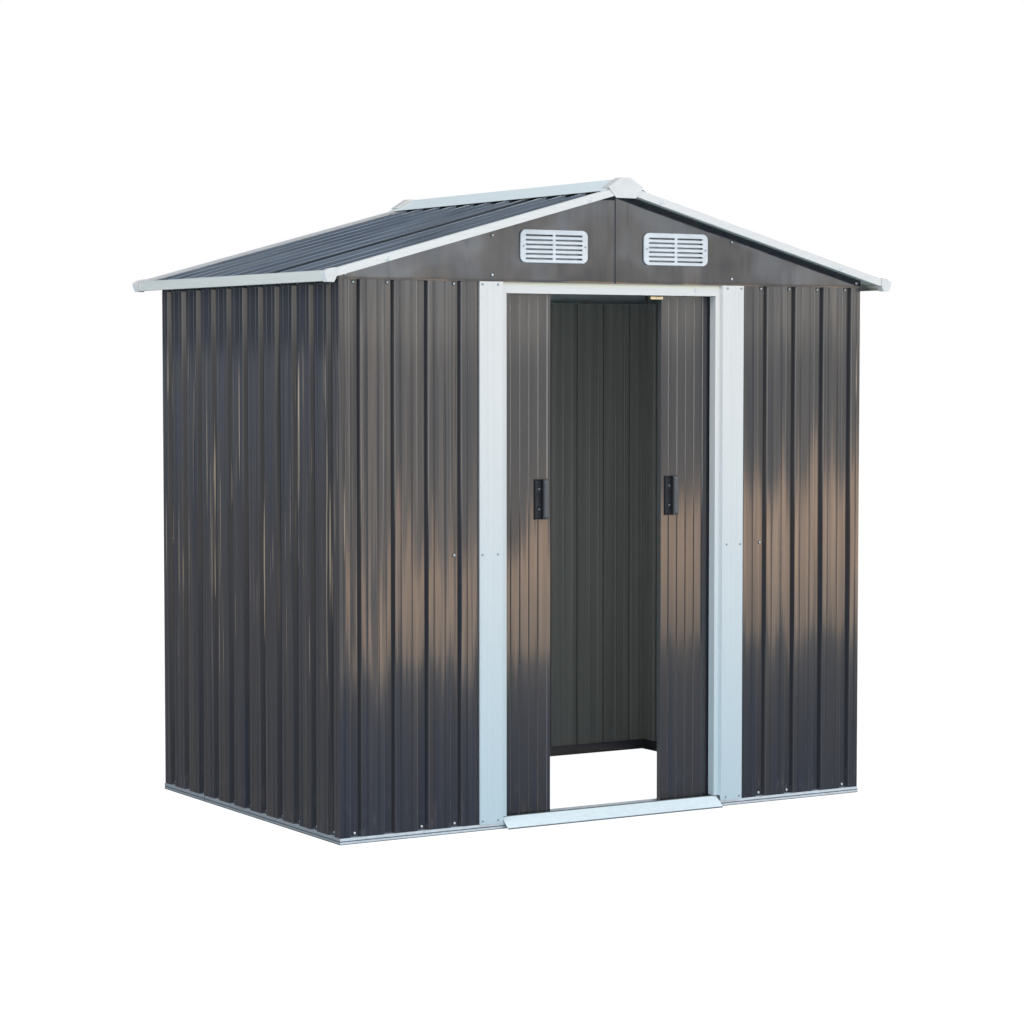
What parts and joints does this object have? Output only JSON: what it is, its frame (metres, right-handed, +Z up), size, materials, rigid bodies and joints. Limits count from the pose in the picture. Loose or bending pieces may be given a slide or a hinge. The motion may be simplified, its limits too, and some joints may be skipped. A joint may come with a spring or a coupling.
{
  "type": "metal storage shed",
  "caption": "Free-standing garden shed of dark ribbed steel sheets on galvanised base rails, with white trim, an apex roof, gable vents and a pair of sliding doors.",
  "frame": {"origin": "on the ground in the middle of the shed's overall box", "axes": "+Z up, the doors face -Y, the ridge runs along Y, +X to the right seen from the front"},
  "size_m": [1.978, 1.3108, 1.8875],
  "materials": {
    "dark_sheet": "glossy baked enamel on ribbed steel sheet",
    "roof_sheet": "glossy baked enamel on ribbed steel sheet",
    "white_trim": "semi-gloss white paint",
    "white_moulding": "moulded white plastic",
    "galvanised": "bright galvanised steel",
    "black_moulding": "moulded black plastic",
    "roller_brass": "yellow passivated steel and brass"
  },
  "bodies": {
    "shed": {"front_corner_sheet_left": "dark_sheet", "front_corner_sheet_right": "dark_sheet", "front_infill_sheet_left": "dark_sheet", "front_infill_sheet_right": "dark_sheet", "left_wall": "dark_sheet", "right_wall": "dark_sheet", "back_corner_sheet_left": "dark_sheet", "back_corner_sheet_right": "dark_sheet", "back_middle_sheet": "dark_sheet", "front_gable_left": "dark_sheet", "front_gable_right": "dark_sheet", "back_gable_left": "dark_sheet", "back_gable_right": "dark_sheet", "roof_left_front": "roof_sheet", "roof_left_back": "roof_sheet", "roof_right_front": "roof_sheet", "roof_right_back": "roof_sheet", "door_jamb_left": "white_trim", "door_jamb_right": "white_trim", "door_header": "white_trim", "ridge_cap": "white_trim", "eave_trim_left": "white_trim", "eave_trim_right": "white_trim", "verge_trims_front": "white_trim", "verge_trims_back": "white_trim", "front_vents": "white_moulding", "back_vents": "white_moulding", "ridge_end_caps": "white_moulding", "roof_corner_caps": "white_moulding", "base_rail_front": "galvanised", "base_rail_back": "galvanised", "base_rail_left": "galvanised", "base_rail_right": "galvanised", "top_rail_front": "galvanised", "top_rail_back": "galvanised", "top_rail_left": "galvanised", "top_rail_right": "galvanised", "door_track": "galvanised", "door_floor_guide": "galvanised", "door_ramp": "galvanised", "ridge_beam": "galvanised"},
    "left_sliding_door": {"left_door": "dark_sheet", "left_handle": "black_moulding", "left_door_shoes": "black_moulding", "left_door_rollers": "roller_brass"},
    "right_sliding_door": {"right_door": "dark_sheet", "right_handle": "black_moulding", "right_door_shoes": "black_moulding", "right_door_rollers": "roller_brass"}
  },
  "joints": [
    {"name": "left_door_slide", "type": "slide", "parent": "shed", "child": "left_sliding_door", "axis": [-1, 0, 0], "range_m": [-0.193, 0.11]},
    {"name": "right_door_slide", "type": "slide", "parent": "shed", "child": "right_sliding_door", "axis": [1, 0, 0], "range_m": [-0.193, 0.11]}
  ]
}
